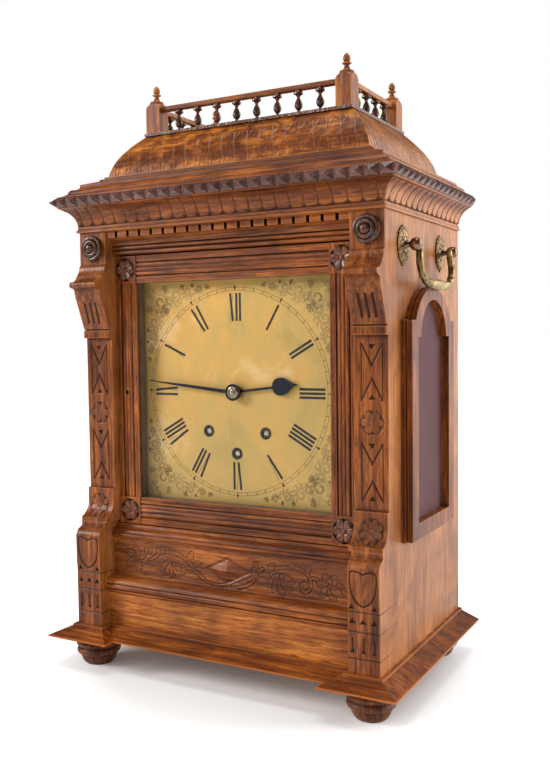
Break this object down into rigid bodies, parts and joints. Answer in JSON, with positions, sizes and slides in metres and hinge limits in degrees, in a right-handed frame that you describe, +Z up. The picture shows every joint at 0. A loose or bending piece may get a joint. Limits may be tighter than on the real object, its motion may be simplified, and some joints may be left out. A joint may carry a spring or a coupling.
{
  "type": "bracket clock",
  "caption": "Large carved oak bracket clock with glazed door, engraved brass dial, arched side windows, drop handles, bead cornice, hipped dome and turned gallery.",
  "frame": {"origin": "middle of the footprint on the surface the feet stand on", "axes": "+Z up, the dial faces -Y, +X to the right of someone facing the dial"},
  "size_m": [0.3952, 0.256, 0.621],
  "materials": {
    "oak_front": "carved and waxed oak, reddish brown",
    "oak_side": "waxed oak, paler, upright grain",
    "carcass_wood": "plain sawn oak",
    "aged_brass": "cast brass, dulled",
    "dial_brass": "satin gilt brass, engraved",
    "movement_brass": "brushed brass",
    "steel": "polished steel",
    "blued_steel": "dark blued steel",
    "gong_iron": "dark iron and steel rods",
    "door_glass": "clear flat glass",
    "pane_silk": "mauve-grey silk on a flat board",
    "slip_metal": "taupe painted slip"
  },
  "bodies": {
    "case": {"bun_feet": "oak_front", "plinth_moulding": "oak_front", "base_board": "carcass_wood", "side_panel_left": "oak_side", "side_panel_right": "oak_side", "window_frame_left": "oak_side", "window_frame_right": "oak_side", "window_pane_left": "pane_silk", "window_pane_right": "pane_silk", "handle_mounts_left": "aged_brass", "handle_mounts_right": "aged_brass", "pilaster_left": "oak_front", "pilaster_right": "oak_front", "base_panel": "oak_front", "ledge_moulding": "oak_front", "carved_panel": "oak_front", "sill_moulding": "oak_front", "head_moulding": "oak_front", "dentil_strip": "oak_front", "cornice_cove": "oak_front", "bead_moulding": "oak_front", "top_slab": "oak_front", "dome_roof": "oak_front", "gallery_board": "oak_front", "gallery_posts": "oak_front", "gallery_rails": "oak_front", "gallery_balusters": "oak_front", "back_frame": "carcass_wood", "back_hinge_case_leaves": "aged_brass", "front_hinge_case_leaves": "aged_brass", "dial_board": "carcass_wood", "dial_plate": "dial_brass", "movement_front_plate": "movement_brass", "movement_rear_plate": "movement_brass", "seat_board": "carcass_wood", "back_cock": "movement_brass", "gong_rods": "gong_iron"},
    "front_door": {"door_frame": "oak_front", "door_rosettes": "oak_front", "door_glass": "door_glass", "door_sight_slip": "slip_metal", "door_lock": "aged_brass", "front_hinge_door_leaves": "aged_brass"},
    "back_door": {"back_door": "carcass_wood", "back_door_knob": "aged_brass", "back_hinge_door_leaves": "aged_brass"},
    "bail_right": {"handle_bail_right": "aged_brass"},
    "bail_left": {"handle_bail_left": "aged_brass"},
    "minute_train": {"centre_arbor": "steel", "minute_hand": "blued_steel", "hand_nut": "dial_brass"},
    "hour_train": {"hour_wheel": "movement_brass", "hour_hand": "blued_steel"},
    "motion_wheel": {"minute_wheel": "movement_brass"},
    "chime_barrel": {"winding_barrel_chime": "movement_brass"},
    "going_barrel": {"winding_barrel_going": "movement_brass"},
    "strike_barrel": {"winding_barrel_strike": "movement_brass"},
    "pendulum": {"pendulum": "movement_brass"},
    "low_hammer": {"hammer_low": "steel"},
    "high_hammer": {"hammer_high": "steel"}
  },
  "joints": [
    {"name": "front_door_hinge", "type": "hinge", "parent": "case", "child": "front_door", "pos_m": [0.1395, -0.0765, 0.293], "axis": [0, 0, 1], "range_deg": [0, 90]},
    {"name": "back_door_hinge", "type": "hinge", "parent": "case", "child": "back_door", "pos_m": [-0.1245, 0.126, 0.25], "axis": [0, 0, 1], "range_deg": [0, 110]},
    {"name": "right_bail_swing", "type": "hinge", "parent": "case", "child": "bail_right", "pos_m": [0.187, 0.011, 0.4325], "axis": [0, -1, 0], "range_deg": [0, 150]},
    {"name": "left_bail_swing", "type": "hinge", "parent": "case", "child": "bail_left", "pos_m": [-0.187, 0.011, 0.4325], "axis": [0, 1, 0], "range_deg": [0, 150]},
    {"name": "minute_hand_turn", "type": "hinge", "parent": "case", "child": "minute_train", "pos_m": [0, -0.058, 0.293], "axis": [0, 1, 0], "continuous": true},
    {"name": "hour_hand_turn", "type": "hinge", "parent": "case", "child": "hour_train", "pos_m": [0, -0.058, 0.293], "axis": [0, 1, 0], "continuous": true},
    {"name": "minute_wheel_turn", "type": "hinge", "parent": "case", "child": "motion_wheel", "pos_m": [0.024, -0.047, 0.293], "axis": [0, 1, 0], "continuous": true},
    {"name": "chime_winding", "type": "hinge", "parent": "case", "child": "chime_barrel", "pos_m": [-0.0337, -0.057, 0.252], "axis": [0, 1, 0], "continuous": true},
    {"name": "going_winding", "type": "hinge", "parent": "case", "child": "going_barrel", "pos_m": [0, -0.057, 0.23], "axis": [0, 1, 0], "continuous": true},
    {"name": "strike_winding", "type": "hinge", "parent": "case", "child": "strike_barrel", "pos_m": [0.0337, -0.057, 0.252], "axis": [0, 1, 0], "continuous": true},
    {"name": "pendulum_swing", "type": "hinge", "parent": "case", "child": "pendulum", "pos_m": [0, 0.0245, 0.329], "axis": [0, 1, 0], "range_deg": [-4, 4]},
    {"name": "low_hammer_lift", "type": "hinge", "parent": "case", "child": "low_hammer", "pos_m": [-0.064, 0.0325, 0.215], "axis": [0, 1, 0], "range_deg": [0, 20]},
    {"name": "high_hammer_lift", "type": "hinge", "parent": "case", "child": "high_hammer", "pos_m": [-0.064, 0.0465, 0.249], "axis": [0, 1, 0], "range_deg": [0, 20]}
  ],
  "couplings": [
    {"joint": "hour_hand_turn", "follows": "minute_hand_turn", "ratio": 0.083333},
    {"joint": "minute_wheel_turn", "follows": "minute_hand_turn", "ratio": -0.33333}
  ]
}
